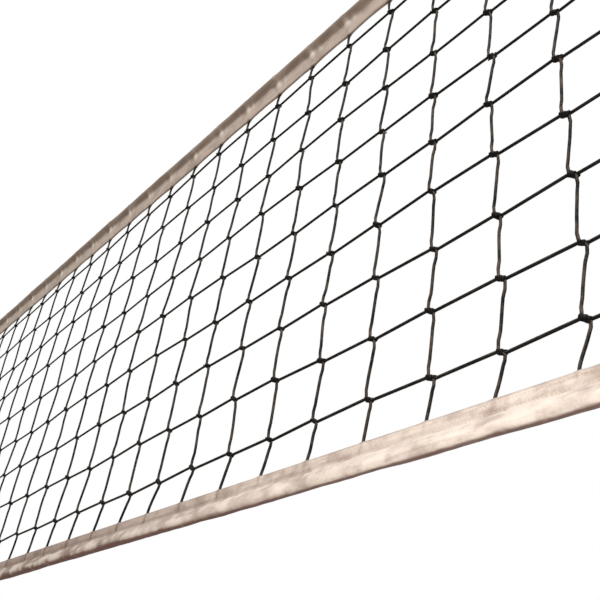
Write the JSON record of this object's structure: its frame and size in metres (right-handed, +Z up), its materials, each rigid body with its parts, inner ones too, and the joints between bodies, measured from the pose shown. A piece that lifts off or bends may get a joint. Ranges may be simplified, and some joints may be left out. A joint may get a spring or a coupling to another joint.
{
  "type": "volleyball net",
  "caption": "Long knotted square-mesh net hung between a canvas top band with a headline tunnel, a corded canvas bottom band and two plain side bands.",
  "frame": {"origin": "middle of the net's top edge, on the headline tunnel", "axes": "+X along the net, +Y through it, +Z up"},
  "size_m": [9.5, 0.0236, 1.0096],
  "materials": {
    "twine": "matte black knotted twine",
    "top_canvas": "weathered tan canvas",
    "bottom_canvas": "weathered cream canvas",
    "side_canvas": "plain cream canvas"
  },
  "bodies": {
    "root": {"net_mesh": "twine", "top_band": "top_canvas", "bottom_band": "bottom_canvas", "side_band_left": "side_canvas", "side_band_right": "side_canvas"}
  },
  "joints": []
}
